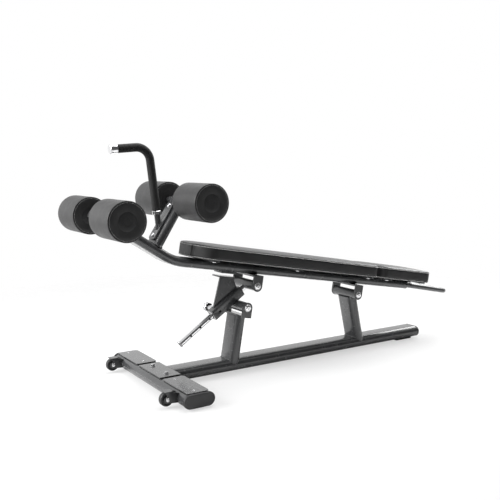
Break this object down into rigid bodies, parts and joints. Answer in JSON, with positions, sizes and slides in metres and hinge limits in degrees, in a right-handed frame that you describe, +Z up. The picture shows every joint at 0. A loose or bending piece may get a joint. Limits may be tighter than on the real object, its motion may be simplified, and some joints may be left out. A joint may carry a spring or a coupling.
{
  "type": "abdominal bench",
  "caption": "Decline bench for abdominal training on a low T-shaped base, with pads, leg rollers and a bent grab handle; a sliding tube and a pop pin set its tilt.",
  "frame": {"origin": "on the floor, under the middle of the bench's length and width", "axes": "+X along the bench from the leg rollers to the lift handle, +Y to the pop pin's side, +Z up"},
  "size_m": [1.9006, 0.6566, 0.9304],
  "materials": {
    "powder_coat": "satin textured powder coat, anthracite",
    "chrome": "bright chrome plating",
    "zinc_steel": "zinc-plated steel",
    "black_leather": "black synthetic leather with a fine grain",
    "roller_skin": "dark grey synthetic leather over foam",
    "foam_grip": "matt black foam rubber",
    "rubber": "matt black rubber",
    "black_plastic": "moulded black plastic",
    "board_cover": "board covered with black sheet"
  },
  "bodies": {
    "base": {"front_foot": "powder_coat", "foot_end_cap_left": "black_plastic", "foot_end_cap_right": "black_plastic", "foot_pad_left": "rubber", "foot_pad_right": "rubber", "tread_plate_left": "powder_coat", "tread_plate_right": "powder_coat", "saddle_plate": "powder_coat", "saddle_bolt_left": "zinc_steel", "saddle_bolt_right": "zinc_steel", "base_rail": "powder_coat", "rail_end_cap": "black_plastic", "rear_foot_pad": "rubber", "front_post": "powder_coat", "strut_bracket": "powder_coat", "strut_pivot_bolt": "chrome", "rear_post": "powder_coat", "tilt_pivot_tube": "powder_coat", "wheel_bracket_left": "powder_coat", "wheel_bracket_right": "powder_coat"},
    "sleeve": {"adjusting_sleeve": "powder_coat", "sleeve_pivot_tube": "powder_coat", "stop_bracket": "powder_coat", "pop_pin_barrel": "zinc_steel", "pop_pin_spring": "zinc_steel"},
    "adjusting_tube": {"adjusting_tube": "chrome", "adjusting_tube_head": "powder_coat"},
    "pop_pin": {"pop_pin": "chrome"},
    "bench": {"bench_tube": "powder_coat", "lift_handle": "powder_coat", "tilt_bracket": "powder_coat", "tilt_pivot_bolt": "chrome", "adjuster_bracket": "powder_coat", "adjuster_screw_left": "chrome", "adjuster_screw_right": "chrome", "stop_plate": "powder_coat", "main_pad": "black_leather", "main_pad_board": "board_cover", "main_pad_bracket_front": "powder_coat", "main_pad_bracket_middle": "powder_coat", "main_pad_bracket_rear": "powder_coat", "head_pad": "black_leather", "head_pad_board": "board_cover", "head_pad_bracket_front": "powder_coat", "head_pad_bracket_rear": "powder_coat", "roller_mast": "powder_coat", "lower_axle": "zinc_steel", "upper_axle": "zinc_steel", "handle_plate": "powder_coat", "handle_tube": "powder_coat", "handle_collar": "chrome", "handle_grip": "foam_grip", "handle_end_cap": "chrome"},
    "lower_roller_left": {"lower_roller_left": "roller_skin"},
    "lower_roller_right": {"lower_roller_right": "roller_skin"},
    "upper_roller_left": {"upper_roller_left": "roller_skin"},
    "upper_roller_right": {"upper_roller_right": "roller_skin"},
    "wheel_left": {"wheel_left": "black_plastic"},
    "wheel_right": {"wheel_right": "black_plastic"}
  },
  "joints": [
    {"name": "bench_tilt", "type": "hinge", "parent": "base", "child": "bench", "pos_m": [0.30057, 0, 0.2686], "axis": [0, 1, 0], "range_deg": [0, 15.63]},
    {"name": "sleeve_swing", "type": "hinge", "parent": "base", "child": "sleeve", "pos_m": [-0.29424, 0, 0.27641], "axis": [0, -1, 0], "range_deg": [0, 23.81]},
    {"name": "tube_slide", "type": "slide", "parent": "sleeve", "child": "adjusting_tube", "axis": [0.829, 0, 0.5592], "range_m": [0, 0.156]},
    {"name": "pin_pull", "type": "slide", "parent": "sleeve", "child": "pop_pin", "axis": [0, 1, 0], "range_m": [0, 0.012], "stiffness_N_per_m": 600, "springref_m": -0.004, "deforming": ["pop_pin_spring"]},
    {"name": "lower_roller_left_spin", "type": "hinge", "parent": "bench", "child": "lower_roller_left", "pos_m": [-0.88028, 0.1707, 0.66391], "axis": [0, 1, 0], "continuous": true},
    {"name": "lower_roller_right_spin", "type": "hinge", "parent": "bench", "child": "lower_roller_right", "pos_m": [-0.88028, -0.1707, 0.66391], "axis": [0, 1, 0], "continuous": true},
    {"name": "upper_roller_left_spin", "type": "hinge", "parent": "bench", "child": "upper_roller_left", "pos_m": [-0.55869, 0.1707, 0.71608], "axis": [0, 1, 0], "continuous": true},
    {"name": "upper_roller_right_spin", "type": "hinge", "parent": "bench", "child": "upper_roller_right", "pos_m": [-0.55869, -0.1707, 0.71608], "axis": [0, 1, 0], "continuous": true},
    {"name": "wheel_left_spin", "type": "hinge", "parent": "base", "child": "wheel_left", "pos_m": [-0.74793, 0.2512, 0.0337], "axis": [0, 1, 0], "continuous": true},
    {"name": "wheel_right_spin", "type": "hinge", "parent": "base", "child": "wheel_right", "pos_m": [-0.74793, -0.2512, 0.0337], "axis": [0, 1, 0], "continuous": true}
  ],
  "couplings": [
    {"joint": "sleeve_swing", "follows": "bench_tilt", "ratio": 1.5238},
    {"joint": "tube_slide", "follows": "bench_tilt", "m_per_rad": 0.57196}
  ]
}
